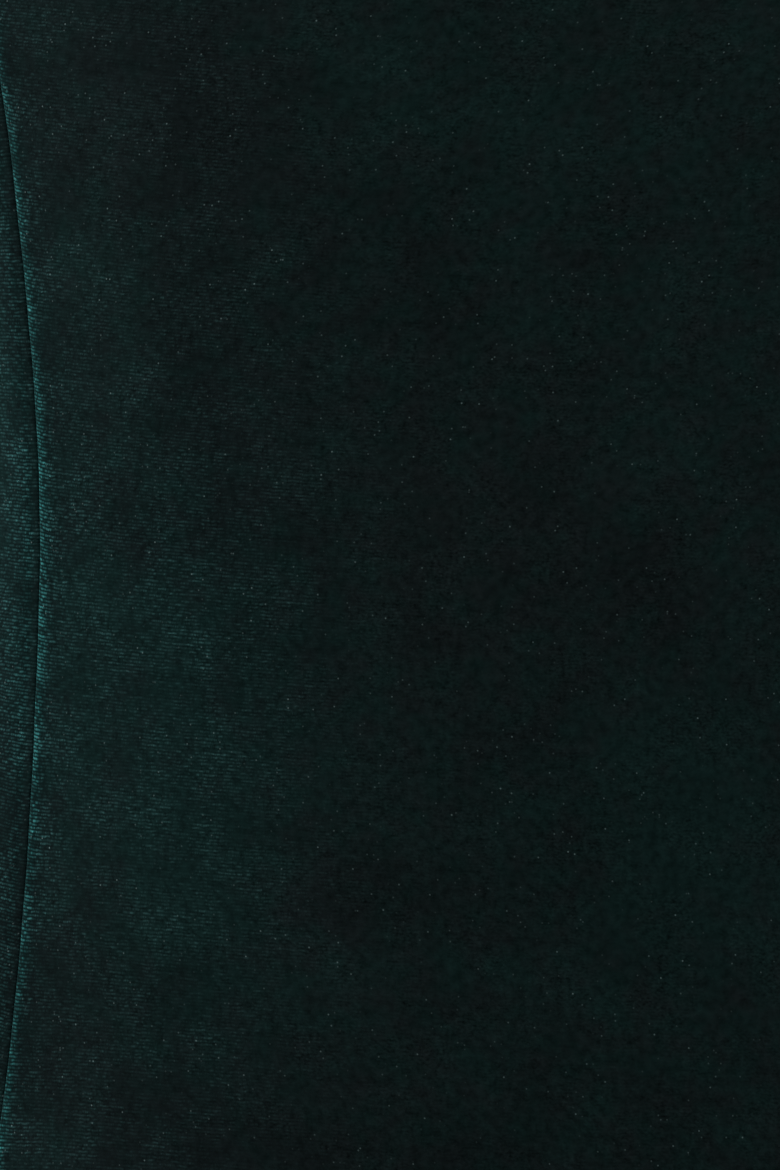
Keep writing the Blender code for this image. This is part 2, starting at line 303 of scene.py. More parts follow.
def armhole_width(cut, level):
    """From the middle plane to the armhole's edge."""
    share = (level - UNDERARM) / -UNDERARM
    if share < ARMHOLE_NARROWEST:
        inward = (1 - share / ARMHOLE_NARROWEST) ** 2
        return cut.across + (section_value(UNDERARM, HALF_WIDTH) - cut.across) * inward
    outward = smoothstep((share - ARMHOLE_NARROWEST) / (1 - ARMHOLE_NARROWEST))
    return cut.across + (SHOULDER_OUTER - cut.across) * outward


def steps(start, end, size):
    """Evenly spaced values from start up to, but without, end."""
    count = max(1, round((end - start) / size))
    return [start + (end - start) * i / count for i in range(count)]


# A row of a panel runs from its middle or neckline to its outer end, which is at the side seam up
# to the underarm, and at the armhole above it.
Row = namedtuple("Row", "inner_level inner_angle outer_level outer_angle bend at_seam")
HEM_DISTANCES = (0, 0.0002, 0.0005, 0.0009, 0.0014, 0.0022, 0.004, 0.008, 0.014, 0.021, 0.0245)
HEM_DISTANCES += (0.0255, 0.0265, 0.0275, 0.030, 0.036)
SHOULDER_DISTANCES = (0.0060, 0.0045, 0.0033, 0.0024, 0.0017, 0.0011, 0.0007, 0.0004, 0.0002, 0)
ARCH_LENGTH = 0.085  # of cloth over a strap's arch, on each side of the shoulder seam

# How far apart rows are: from a height up on the skirt and bodice, below the neckline's V, beside
# it and over the shoulder. Just below and above the V's point they are closer.
ROW_STEPS = ((HEM + 0.048, 0.015), (-0.700, 0.007), (-0.560, 0.003), (-0.290, 0.005))
BELOW_V_STEP, BESIDE_V_STEP, ARCH_STEP = 0.006, 0.0055, 0.0026
BELOW_POINT = (0.0035, 0.0018, 0.0008)
ABOVE_POINT = (0.0008, 0.002, 0.004)
BESIDE_V_START = 0.007  # above the point, where the step beside the V takes over


def panel_rows(cut):
    """All the rows of a panel, close together round the waist and at its hem and shoulder edges,
    and which of them is at the point of the neckline's V."""
    levels = [HEM + distance for distance in HEM_DISTANCES]
    ends = [start for start, _ in ROW_STEPS[1:]] + [BODICE_TOP]
    for (start, size), end in zip(ROW_STEPS, ends):
        levels += steps(start, end, size)
    rows = []
    for level in levels + [BODICE_TOP]:
        lift = (UNDERARM - BODICE_TOP) * smoothstep((level - BODICE_TOP) / UNDERARM_LIFT_SPAN + 1)
        rows.append(Row(level, 0.0, level + lift, math.pi / 2, UNDERARM_BEND, True))

    neck_point = -cut.neck_depth
    inner_levels = steps(BODICE_TOP, neck_point, BELOW_V_STEP)[1:]
    inner_levels += [neck_point - distance for distance in BELOW_POINT] + [neck_point]
    neck_point_row = len(rows) + len(inner_levels) - 1
    inner_levels += [neck_point + distance for distance in ABOVE_POINT]
    inner_levels += steps(neck_point + BESIDE_V_START, -STRAP_ARCH, BESIDE_V_STEP) + [-STRAP_ARCH]
    for i, inner in enumerate(inner_levels, 1):
        share = i / len(inner_levels)
        outer = UNDERARM + (-STRAP_ARCH - UNDERARM) * share**ARMHOLE_ROW_SPREAD
        inner_angle = angle_at(neck_width(cut, inner), inner) if inner > neck_point else 0.0
        outer_angle = angle_at(armhole_width(cut, outer), outer)
        bend = UNDERARM_BEND + (1 - UNDERARM_BEND) * smoothstep(share)
        rows.append(Row(inner, inner_angle, outer, outer_angle, bend, False))
    arch = steps(-STRAP_ARCH, -SHOULDER_DISTANCES[0], ARCH_STEP)[1:]
    arch += [-distance * STRAP_ARCH / ARCH_LENGTH for distance in SHOULDER_DISTANCES]
    for level in arch:
        inner_angle = angle_at(neck_width(cut, level), level)
        outer_angle = angle_at(armhole_width(cut, level), level)
        rows.append(Row(level, inner_angle, level, outer_angle, 1, False))
    return rows, neck_point_row


def turn_of(cut, side, angle):
    """The angle round the gown so far from a panel's middle, on the left (1) or right (-1)."""
    return side * (angle if cut.facing < 0 else math.pi - angle)


def row_place(cut, side, row, share):
    """The turn and level at one share of a row, from its inner end (0) to its outer end (1)."""
    angle = row.inner_angle + (row.outer_angle - row.inner_angle) * share
    level = row.inner_level + (row.outer_level - row.inner_level) * share**row.bend
    return turn_of(cut, side, angle), level


# Where the columns of a panel lie, from the ends of each row: close together where the cloth rolls
# into a seam or under a band, and evenly shared out between.
OUTER_DISTANCES = (0, 0.00004, 0.00012, 0.00024, 0.0004, 0.0006, 0.00085, 0.00115, 0.0015, 0.0019)
OUTER_DISTANCES += (0.0024, 0.0030, 0.0037, 0.0045, 0.0056, 0.0070, 0.0084, 0.0090, 0.0096, 0.0112)
INNER_DISTANCES = (0, 0.0002, 0.0005, 0.0009, 0.0015, 0.0023, 0.0035)
MIDDLE_COLUMNS = 40
ROW_SAMPLES = 32  # steps in which a row's length is measured

# Width and depth of the cloth's roll into a side seam, a shoulder seam, a band and the hem's fold
SIDE_ROLL = (0.0030, 0.0008)
SHOULDER_ROLL = (0.0030, 0.0009)
BAND_ROLL = (0.0020, 0.0006)
HEM_ROLL = (0.0014, 0.0014)
ALLOWANCE = 0.0090  # seam allowance, pressed open inside
ALLOWANCE_THICKNESS = 0.0012
HEM_TURNED = 0.0255  # how far the hem is turned up
HEM_THICKNESS = WALL * 0.85  # of the turned-up layer, pressed
OVER_ALLOWANCE = 0.6  # share of the hem's thickness that is left over an allowance
HEM_FOLD_WALL = 0.0001  # between the two sides of the cloth at the fold's very edge
SIDE_STEP, SHOULDER_STEP, HEM_STEP = 0.0012, 0.003, 0.001  # widths over which these layers end
STITCH_DIMPLE, STITCH_WIDTH = 0.00035, 0.0012  # where the hem's stitches draw the cloth in
PUCKER_HEIGHT, PUCKER_REACH = 0.00016, 0.006  # along a side seam, and how far in from it
PUCKER_RATE = 420  # radians in a metre, so one every 15 mm
FLAT_BY_SEAM, FLAT_BY_NECK = 0.012, 0.010  # widths over which the relief fades toward an edge
EDGE_RELIEF = 0.25  # share of it that is left there
GRAIN_OFFSET = 2  # metres that each panel's grain is moved out by, so that their patterns differ

# How the jersey's courses rise toward the side seam, and droop again close to it. The droop eases
# above the waist, where the bodice widens, and grows by the seam below it, where the skirt flares.
COURSE_RISE = 0.064
COURSE_DROOP = {"front": 0.94, "back": 0.34}
DROOP_ABOVE, DROOP_BELOW, FLARE_SPAN = -6.5, 0.030, 0.020
RIM_DROOP, RIM_SPAN = 0.00028, 0.0018  # over the front's rolled edge itself
REACH_ABOVE, REACH_BELOW, REACH_ACROSS = 0.08, 0.10, 0.20  # past which the courses bend no further

# Soft patches of the pile, each lighter or darker (tone above or below 0) and greener or nearly
# grey (cast above or below 0). Small ones lie where the pile has been brushed or pressed and leans;
# the broad dark ones by the side seam, above and below the waist, are painted shade, where the
# cloth turns away from the light. Its middle, in degrees round the gown and height, its half width
# and half height, and how strong both are.
LeanAndShade = namedtuple("LeanAndShade", "angle height half_width half_height tone cast")
LEAN_AND_SHADE = (
    LeanAndShade(-80, -0.328, 0.040, 0.024, -0.65, 0.00),
    LeanAndShade(-78, -0.296, 0.030, 0.010, -0.35, 0.00),
    LeanAndShade(-72, -0.309, 0.013, 0.011, -0.25, -0.45),
    LeanAndShade(-81, -0.332, 0.008, 0.007, 0.45, 0.30),
    LeanAndShade(-57, -0.304, 0.020, 0.009, 0.00, 0.20),
    LeanAndShade(-70, -0.362, 0.007, 0.014, -0.35, -0.10),
    LeanAndShade(-67, -0.357, 0.008, 0.009, 0.15, -0.35),
    LeanAndShade(-79, -0.371, 0.006, 0.006, -0.35, 0.00),
    LeanAndShade(-74, -0.388, 0.013, 0.008, 0.40, 0.20),
    LeanAndShade(-84, -0.397, 0.005, 0.019, 0.20, 0.35),
    LeanAndShade(-79, -0.393, 0.005, 0.005, -0.25, 0.00),
    LeanAndShade(-68, -0.404, 0.010, 0.006, 0.25, 0.00),
    LeanAndShade(-72, -0.428, 0.014, 0.018, 0.25, 0.50),
    LeanAndShade(-61, -0.426, 0.007, 0.006, -0.25, -0.40),
    LeanAndShade(-82, -0.450, 0.042, 0.018, -0.80, 0.10),
    LeanAndShade(-70, -0.466, 0.020, 0.009, 0.00, -0.30),
    LeanAndShade(-50, -0.470, 0.080, 0.012, -0.45, 0.10),
    LeanAndShade(-57, -0.421, 0.010, 0.007, -0.30, 0.00),
    LeanAndShade(-48, -0.373, 0.021, 0.019, -0.15, -0.30),
    LeanAndShade(-36, -0.357, 0.010, 0.008, 0.15, 0.00),
    LeanAndShade(-33, -0.381, 0.009, 0.011, -0.25, -0.10),
    LeanAndShade(-33, -0.416, 0.010, 0.017, 0.20, 0.45),
    LeanAndShade(-53, -0.309, 0.014, 0.010, 0.20, 0.00),
    LeanAndShade(-94, -0.424, 0.012, 0.020, -0.80, 0.00),
    LeanAndShade(-92, -0.300, 0.010, 0.010, -0.40, 0.00),
)
PATCH_REACH = 2.2  # half sizes from its middle, past which a patch is left out
TABLE_ANGLE, TABLE_DEGREES, TABLE_HEIGHT = -58, 42, 0.105  # the part at the waist that it covers
DRIFT_WAVES = 26  # in a metre, of the patches elsewhere
HANGS_FREE = -0.72  # below this height the skirt hangs free, and its courses carry less painted light
FREE_SPAN = 0.20  # above it, over which the cloth comes to be stretched
WAIST_SPAN = 0.075  # above and below the waist, where the cloth is tightest and the painted light on its courses strongest
RIM_WIDTH = 0.0021  # of the front's rolled edge, over which its pile splays and a highlight is painted


def row_shares(cut, row):
    """The shares of a row at which its columns lie, and the row's length."""
    samples = [i / ROW_SAMPLES for i in range(ROW_SAMPLES + 1)]
    samples = [gown_point(*row_place(cut, 1, row, share)) for share in samples]
    length = sum((b - a).length for a, b in zip(samples, samples[1:]))
    inner = [distance / length for distance in INNER_DISTANCES]
    outer = [1 - distance / length for distance in OUTER_DISTANCES][::-1]
    gap = outer[0] - inner[-1]
    middle = [inner[-1] + gap * i / (MIDDLE_COLUMNS + 1) for i in range(1, MIDDLE_COLUMNS + 1)]
    return inner + middle + outer, length


def along_wales(cut, across, level, to_seam):
    """How far up the cloth as cut a place lies, from the courses that pass through it."""
    below = max(0.0, min(WAIST - level, REACH_BELOW))
    above = max(0.0, min(level - WAIST, REACH_ABOVE))
    far = min(across, REACH_ACROSS)
    along = level
    if level > -STRAP_ARCH:
        along = -STRAP_ARCH + (level + STRAP_ARCH) * ARCH_LENGTH / STRAP_ARCH
    along += (COURSE_DROOP[cut.name] + DROOP_ABOVE * above) * far**3 - COURSE_RISE * far
    along += DROOP_BELOW * below * math.exp(-to_seam / FLARE_SPAN)
    if cut.facing < 0:
        along -= RIM_DROOP * math.exp(-to_seam / RIM_SPAN)
    return along


def pile_and_painted_light(cut, turn, level, to_seam):
    """How the pile lies at one place, as four values from 0 to 1: how far it parts over the
    courses, which are painted lighter there; how far it splays over a rolled edge, with a painted
    highlight;
    how light its lean and the painted shade make it; and how green. It parts where the cloth is
    stretched and curves toward a side seam, most of all at the waist, and there its courses carry
    painted light, as where light grazes the cloth."""
    stretched = 0.3 + 0.7 * smoothstep((level - HANGS_FREE) / FREE_SPAN)
    tight_and_painted_light = 0.48 - 0.24 * smoothstep((level - WAIST) / WAIST_SPAN)
    tight_and_painted_light -= 0.17 * smoothstep((WAIST - level) / WAIST_SPAN)
    # painted light: the courses are drawn lighter toward each side seam and at the waist, on top of
    # the real parting of the stretched pile
    parted_and_painted_light = 0.07 + tight_and_painted_light * stretched * (1 - smoothstep((to_seam - 0.030) / 0.050))
    parted_and_painted_light += 0.50 * stretched * math.exp(-to_seam / 0.006)
    if cut.facing < 0:
        # a highlight is painted over the front's rolled edge, where its pile splays
        splay_and_highlight = 1 / (1 + (to_seam / RIM_WIDTH) ** 4)
    else:
        # the back's pile splays a little by the seam, with a faint painted highlight, and closes
        # under the front's rolled edge, where its courses are painted darker as shade in the groove
        splay_and_highlight = 0.20 * (1 - smoothstep((to_seam - 0.012) / 0.025))
        parted_and_painted_light *= 0.45 + 0.55 * smoothstep((to_seam - 0.0004) / 0.0018)
    # broad drifting patches everywhere but at the right of the waist, where the table has them
    round_by = degrees_past(turn, TABLE_ANGLE) / TABLE_DEGREES
    loose = 0.5 * smoothstep((math.hypot(round_by, (level - WAIST) / TABLE_HEIGHT) - 1) * 1.5)
    radius = girth_radius(level)
    place = Vector((radius * math.cos(turn), radius * math.sin(turn), level * 0.6)) * DRIFT_WAVES
    lean_and_shade, cast = loose * noise.noise(place), loose * noise.noise(place.zxy)
    for patch in LEAN_AND_SHADE:
        up = (level - patch.height) / patch.half_height
        side = math.radians(degrees_past(turn, patch.angle)) * radius / patch.half_width
        if max(abs(up), abs(side)) < PATCH_REACH:
            near = math.exp(-(up * up + side * side) * 0.8)
            lean_and_shade += patch.tone * near
            cast += patch.cast * near
    lean_and_shade, cast = (min(max(0.5 + 0.5 * value, 0.0), 1.0) for value in (lean_and_shade, cast))
    return parted_and_painted_light, splay_and_highlight, lean_and_shade, cast


def panel_layers(row, to_outer, to_neck):
    """How far in from the smooth form a panel's pile side and knit side lie. The pile side sinks
    where the cloth rolls into a seam, a band or the hem, and the allowances thicken the panel
    inside."""
    to_shoulder = -row.inner_level * ARCH_LENGTH / STRAP_ARCH
    from_hem = row.inner_level - HEM
    sink = rolled_edge(to_outer, *(SIDE_ROLL if row.at_seam else BAND_ROLL))
    sink = max(sink, rolled_edge(to_neck, *BAND_ROLL), rolled_edge(to_shoulder, *SHOULDER_ROLL))
    deep = WALL
    if row.at_seam:
        deep += ALLOWANCE_THICKNESS * smoothstep((ALLOWANCE - to_outer) / SIDE_STEP + 0.5)
    deep += ALLOWANCE_THICKNESS * smoothstep((ALLOWANCE - to_shoulder) / SHOULDER_STEP + 0.5)
    turned = smoothstep((HEM_TURNED - from_hem) / HEM_STEP + 0.5)
    deep += HEM_THICKNESS * turned * (1 if deep == WALL else OVER_ALLOWANCE)
    if from_hem < HEM_ROLL[0]:
        sink = max(sink, rolled_edge(from_hem, *HEM_ROLL))
        deep -= rolled_edge(from_hem, HEM_ROLL[0], deep - HEM_ROLL[1] - HEM_FOLD_WALL)
    sink += STITCH_DIMPLE * math.exp(-(((from_hem - HEM_TURNED) / STITCH_WIDTH) ** 2))
    return sink, deep


def panel_relief(row, turn, level, point, to_outer, to_neck):
    """The small relief of a panel at one place, with the puckers of its side seam."""
    relief = cloth_height(turn, level, point)
    if row.at_seam and to_outer < PUCKER_REACH * 5:
        sway = 2.4 * noise.noise(Vector((0.3, 0.1, level * 21)))
        pull = math.sin(level * PUCKER_RATE + sway)
        relief += PUCKER_HEIGHT * pull * math.exp(-to_outer / PUCKER_REACH)
    inside = smoothstep(min(to_outer / FLAT_BY_SEAM, to_neck / FLAT_BY_NECK))
    return relief * (EDGE_RELIEF + (1 - EDGE_RELIEF) * inside)


def make_panel(cut):
    """One panel as a thin shell: its pile side, its knit side, and the edges between them."""
    rows, neck_point_row = panel_rows(cut)
    columns = len(OUTER_DISTANCES) + len(INNER_DISTANCES) + MIDDLE_COLUMNS
    shape = bmesh.new()
    outer, inner, grain, pile_and_painted_light_at = {}, {}, {}, {}
    seam_top = gown_point(math.pi / 2, UNDERARM)
    half_gap = Vector((0, cut.facing * SEAM_GAP / 2, 0))
    for r, row in enumerate(rows):
        shares, length = row_shares(cut, row)
        start, _ = row_place(cut, 1, row, 0)
        middle = gown_point(turn_of(cut, 1, 0.0), row.inner_level)
        across_start = abs((gown_point(start, row.inner_level) - middle).x)
        for side in (-1, 1):
            across, previous = across_start, None
            for c, share in enumerate(shares):
                turn, level = row_place(cut, side, row, share)
                point = gown_point(turn, level)
                if previous is not None:
                    across += (point - previous).length
                previous = point
                if side > 0 and c == 0 and r <= neck_point_row:
                    outer[side, r, c] = outer[-side, r, c]
                    continue
                to_outer = (1 - share) * length
                to_neck = math.hypot(share * length, min(0.0, row.inner_level + cut.neck_depth))
                to_top = math.dist((abs(point.x), point.y, point.z), seam_top)
                to_seam = to_outer if row.at_seam else to_top
                sink, deep = panel_layers(row, to_outer, to_neck)
                relief = panel_relief(row, turn, level, point, to_outer, to_neck)
                normal = gown_normal(turn, level)
                sewn = (row.at_seam and c == columns - 1) or r == len(rows) - 1
                apart = half_gap if sewn else Vector()
                vertex = shape.verts.new(point + apart + normal * (relief - sink))
                knit = shape.verts.new(point - apart + normal * (relief - deep))
                outer[side, r, c], inner[vertex] = vertex, knit
                along = along_wales(cut, across, level, to_seam)
                grain[vertex] = grain[knit] = (side * across + GRAIN_OFFSET * cut.facing, along)
                pile_and_painted_light_at[vertex] = pile_and_painted_light_at[knit] = pile_and_painted_light(cut, turn, level, to_seam)
    for side in (-1, 1):
        for r in range(len(rows) - 1):
            for c in range(columns - 1):
                cell = ((r, c), (r, c + 1), (r + 1, c + 1), (r + 1, c))
                face = shape.faces.new([outer[side, *place] for place in cell])
                if side * cut.facing > 0:
                    face.normal_flip()
    rim = [(edge.verts[0], edge.verts[1]) for edge in shape.edges if edge.is_boundary]
    for face in list(shape.faces):
        knit_face = shape.faces.new([inner[vertex] for vertex in reversed(face.verts)])
        knit_face.material_index = 1
    for first, second in rim:
        shape.faces.new([first, second, inner[second], inner[first]])
    return finish_cloth(cut.name, shape, grain, pile_and_painted_light_at)


def finish_cloth(name, shape, grain, pile_and_painted_light_at, closing=math.inf):
    """The closed shape as a named object, with its grain as a UV map in metres and the way that its
    pile lies, with the painted light and shade that it carries, as an attribute. A strip joined
    into a ring has its grain start again after the length closing, so the faces over the join run
    on to that length."""
    bmesh.ops.recalc_face_normals(shape, faces=shape.faces)
    lies = [pile_and_painted_light_at[vertex] for vertex in shape.verts]
    layer = shape.loops.layers.uv.new("grain")
    for face in shape.faces:
        face.smooth = True
        furthest = max(grain[vertex][0] for vertex in face.verts)
        for loop in face.loops:
            u, v = grain[loop.vert]
            over_join = furthest - u > closing / 2
            loop[layer].uv = (u + closing if over_join else u, v)
    mesh = bpy.data.meshes.new(name)
    shape.to_mesh(mesh)
    shape.free()
    for place, lie in zip(mesh.attributes.new("pile", "FLOAT_COLOR", "POINT").data, lies):
        place.color = lie
    piece = bpy.data.objects.new(name, mesh)
    bpy.context.scene.collection.objects.link(piece)
    return piece


def linear(hex_colour):
    """An sRGB hex colour as linear red, green, blue and alpha."""
    values = [int(hex_colour[i : i + 2], 16) / 255 for i in (1, 3, 5)]
    return [v / 12.92 if v <= 0.04045 else ((v + 0.055) / 1.055) ** 2.4 for v in values] + [1.0]


def add_node(tree, kind, sources=(), **settings):
    """Adds a node with its settings. Sources are sockets or values for its inputs, in their order
    or by name, and what comes back is its outputs."""
    made = tree.nodes.new("ShaderNode" + kind)
    for setting, value in settings.items():
        setattr(made, setting, value)
    by_input = sources if isinstance(sources, dict) else dict(enumerate(sources))
    for socket, source in by_input.items():
        if isinstance(source, bpy.types.NodeSocket):
            tree.links.new(source, made.inputs[socket])
        else:
            made.inputs[socket].default_value = source
    return made.outputs


def add_math(tree, operation, *values):
    """Adds a math node, and what comes back is its result."""
    return add_node(tree, "Math", values, operation=operation)[0]


def add_noise(tree, place, length, detail, roughness=0.5, **settings):
    """Adds noise that changes over a length, from 0 to 1."""
    sources = {"Vector": place, "Scale": 1 / length, "Detail": detail, "Roughness": roughness}
    return add_node(tree, "TexNoise", sources, **settings)[0]


def new_material(name):
    """A new material, with its node tree and its shader."""
    material = bpy.data.materials.new(name)
    material.use_nodes = True
    return material, material.node_tree, material.node_tree.nodes["Principled BSDF"]


# The jersey that the pile grows from has a course every 0.525 mm. Where the pile parts, its fibres
# catch the light along the courses in short broken dashes, painted into the colour as highlights;
# elsewhere it closes to an even black.
COURSE = 0.000525
WALE = 0.00050
DASH = 0.0014  # the usual length of a dash and its gap
GLINT = 0.00032  # the cell that holds at most one painted glint of a fibre's end
SWAY, SWAY_LENGTH = 0.00030, 1 / 240  # how far a course strays, and over what length: 4.2 mm
SHAKE, SHAKE_LENGTH = 0.00022, 1 / 1100  # the same from stitch to stitch: 0.9 mm
RIB_HEIGHT, JERSEY_HEIGHT = 0.00008, 0.00006

# Lengths over which the pile changes. Single fibres are about 0.02 mm thick, too fine to show, so
# their grain is drawn as coarse as 0.4 mm.
CROWD_LENGTH = 1 / 120  # 8.3 mm, from fuller pile to thinner
LEAN_LENGTH = 1 / 80  # 12.5 mm, from one lean to another
CAST_LENGTH = 1 / 210  # 4.8 mm, from green to grey
MOTTLE_LENGTH = 1 / 700  # 1.4 mm, of tufts that stand together
GRAIN_LENGTH = 1 / 2500  # 0.4 mm
CLOUD_LENGTH = 1 / 60  # 17 mm, from paler jersey to darker


def velvet(name, teal, grey, fibre):
    """Stretch velvet: short dense pile that swallows light, so nearly black, with a green cast
    where it leans toward the light and grey where it leans away. Highlights are painted into its
    colour, in the fibre colour, along its parted courses, over rolled edges and as glints, and its
    patches carry painted shade."""
    material, tree, shader = new_material(name)
    add, calc, noise_over = (partial(kind, tree) for kind in (add_node, add_math, add_noise))

    lies = add("Attribute", attribute_name="pile")
    cast = calc("MULTIPLY_ADD", lies["Alpha"], 2.0, -1.0)
    lies = add("SeparateColor", (lies["Color"],))
    parted_and_painted_light, splay_and_highlight = lies[0], lies[1]
    grain = add("UVMap", uv_map="grain")[0]
    place = add("SeparateXYZ", (grain,))

    # fine ribs, one for each course, with painted highlights that come and go along them in dashes
    sway = noise_over(grain, SWAY_LENGTH, 1.0)
    shake = noise_over(grain, SHAKE_LENGTH, 0.0)
    along = calc("MULTIPLY_ADD", sway, SWAY, place[1])
    along = calc("MULTIPLY_ADD", shake, SHAKE, along)
    course = calc("DIVIDE", along, COURSE)
    number = calc("FLOOR", course)
    phase = calc("FRACT", course)
    rib = calc("MULTIPLY", phase, math.pi)
    rib = calc("SINE", rib)
    rib = calc("POWER", rib, 2.2)
    # each course reads a line of the noise far from its neighbours', so that its dashes are its own
    run = calc("DIVIDE", place[0], DASH)
    row = calc("MULTIPLY_ADD", number, 13.7, 0.37)
    row = add("CombineXYZ", (run, row))[0]
    dash = noise_over(row, 1.0, 3.0, 0.75, noise_dimensions="2D")
    dash = add("MapRange", (dash, 0.36, 0.80, 0.0, 1.0))[0]
    dash = calc("POWER", dash, 1.7)
    dash = calc("MULTIPLY_ADD", dash, 3.6, 0.12)
    crowd = noise_over(grain, CROWD_LENGTH, 3.0)
    crowd = add("MapRange", (crowd, 0.36, 0.64, 0.30, 1.50))[0]
    rib = calc("MULTIPLY", rib, dash)
    rib = calc("MULTIPLY", rib, crowd)
    rib = calc("MULTIPLY", rib, parted_and_painted_light)

    # the lean of the pile, from its own soft drift and from the patches, some of them painted shade
    drifted = noise_over(grain, LEAN_LENGTH, 3.0, 0.6)
    drifted = calc("MULTIPLY_ADD", drifted, 1.6, -0.80)
    lean_and_shade = calc("MULTIPLY_ADD", lies[2], 2.0, -1.0)
    lean_and_shade = calc("ADD", lean_and_shade, drifted)
    green = noise_over(grain, CAST_LENGTH, 2.0)
    green = calc("MULTIPLY_ADD", green, 1.8, -0.82)
    green = calc("MULTIPLY_ADD", lean_and_shade, 0.5, green)
    green = calc("ADD", green, cast)
    green = add("MapRange", (green, -0.60, 0.60, 0.0, 1.0), interpolation_type="SMOOTHSTEP")[0]
    colour = add("Mix", {0: green, 6: linear(grey), 7: linear(teal)}, data_type="RGBA")[2]
    # lighter and darker by the lean and by the painted shade of the patches
    tone = add("MapRange", (lean_and_shade, -1.0, 1.0, 0.62, 1.38))[0]

    # the even black of closed pile: a grain drawn out a little across the cloth, and a mottle
    fine = add("VectorMath", (grain, (0.75, 1.0, 1.0)), operation="MULTIPLY")[0]
    fine = noise_over(fine, GRAIN_LENGTH, 2.0)
    fine = add("MapRange", (fine, 0.30, 0.70, -0.30, 0.30))[0]
    fine = calc("MULTIPLY_ADD", fine, crowd, 1.0)
    mottle = noise_over(grain, MOTTLE_LENGTH, 2.0)
    mottle = add("MapRange", (mottle, 0.30, 0.70, -0.30, 0.30))[0]
    fine = calc("ADD", fine, mottle)
    # the ground is drawn darker where the courses carry painted light
    ground = calc("MULTIPLY_ADD", parted_and_painted_light, -0.86, 1.24)
    ground = calc("MULTIPLY", ground, fine)
    ground = calc("MULTIPLY", ground, tone)
    ground = add("VectorMath", {0: colour, "Scale": ground}, operation="SCALE")[0]
    # painted highlights: the courses' dashes in the fibre colour, much brighter over a rolled edge
    bright = calc("MULTIPLY_ADD", splay_and_highlight, 3.4, 1.0)
    bright = calc("MULTIPLY", bright, rib)
    bright = calc("MULTIPLY", bright, tone)

    # painted glints: a few fibre ends that face the light, each a point painted into the colour;
    # most are faint and few are strong
    cells = add("VectorMath", {0: grain, "Scale": 1 / GLINT}, operation="SCALE")[0]
    chance = add("VectorMath", (cells,), operation="FLOOR")[0]
    chance = add("TexWhiteNoise", {"Vector": chance}, noise_dimensions="2D")[0]
    within = add("VectorMath", (cells,), operation="FRACTION")[0]
    within = add("VectorMath", (within, (0.5, 0.5, 0.0)), operation="DISTANCE")["Value"]
    point = add("MapRange", (within, 0.20, 0.50, 1.0, 0.0))[0]
    glint = add("MapRange", (chance, 0.985, 1.0, 0.0, 1.0))[0]
    glint = calc("POWER", glint, 2.2)
    glint = calc("MULTIPLY", glint, point)
    glint = calc("MULTIPLY", glint, crowd)

    # light that comes back from deep in parted or splayed pile has lost some of its red, so the
    # painted light on the courses and the painted highlights over rolled edges are tinted teal
    bright = add("VectorMath", {0: linear(fibre)[:3], "Scale": bright}, operation="SCALE")[0]
    lit = add("VectorMath", (ground, bright), operation="ADD")[0]
    deep = calc("MULTIPLY_ADD", splay_and_highlight, 0.9, parted_and_painted_light)
    deep = calc("MULTIPLY", deep, 0.75)
    deep = {0: deep, 6: lit, 7: linear("#A6FFFF")}
    lit = add("Mix", deep, data_type="RGBA", blend_type="MULTIPLY")[2]
    lit = add("VectorMath", (glint, linear("#475555")[:3], lit), operation="MULTIPLY_ADD")[0]
    tree.links.new(lit, shader.inputs["Base Color"])
    relief = add("Bump", {"Height": rib, "Distance": RIB_HEIGHT, "Strength": 1.0})[0]
    tree.links.new(relief, shader.inputs["Normal"])
    shader.inputs["Roughness"].default_value = 0.90
    shader.inputs["Specular IOR Level"].default_value = 0.02
    shader.inputs["Sheen Weight"].default_value = 0.5
    shader.inputs["Sheen Roughness"].default_value = 0.28
    shader.inputs["Sheen Tint"].default_value = linear("#6FB4B6")
    return material


def knit_backing(name, colour):
    """The velvet's reverse: a plain fine jersey, so flat and matt, ribbed by its wales, and a
    little paler than the pile side."""
    material, tree, shader = new_material(name)
    add, calc, noise_over = (partial(kind, tree) for kind in (add_node, add_math, add_noise))
    grain = add("UVMap", uv_map="grain")[0]
    place = add("SeparateXYZ", (grain,))
    rib = calc("DIVIDE", place[0], WALE)
    rib = calc("PINGPONG", rib, 0.5)
    cloud = noise_over(grain, CLOUD_LENGTH, 2.0)
    light = add("MapRange", (cloud, 0.3, 0.7, 0.8, 1.2))[0]
    worn = add("VectorMath", {0: linear(colour)[:3], "Scale": light}, operation="SCALE")[0]
    tree.links.new(worn, shader.inputs["Base Color"])
    relief = add("Bump", {"Height": rib, "Distance": JERSEY_HEIGHT, "Strength": 0.6})[0]
    tree.links.new(relief, shader.inputs["Normal"])
    shader.inputs["Roughness"].default_value = 0.9
    shader.inputs["Specular IOR Level"].default_value = 0.15
    return material


pile = velvet("stretch velvet pile", "#0F1E1D", "#141A1B", "#1D2D2D")
backing = knit_backing("velvet jersey backing", "#1E2E2F")

for cut in (FRONT, BACK):
    panel = make_panel(cut)
    panel.name = f"{cut.name}_panel"
    panel.data.materials.append(pile)
    panel.data.materials.append(backing)
    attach(panel, "root")
    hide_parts(cut.name)

# -------------------------------------------------------------------------------------------------
# Neck band and armhole bands
# Strips of the same velvet, cut along the courses, folded over the raw edge of the neck and of each
# armhole and stitched in the ditch, so that no stitch shows on the outside.
# -------------------------------------------------------------------------------------------------

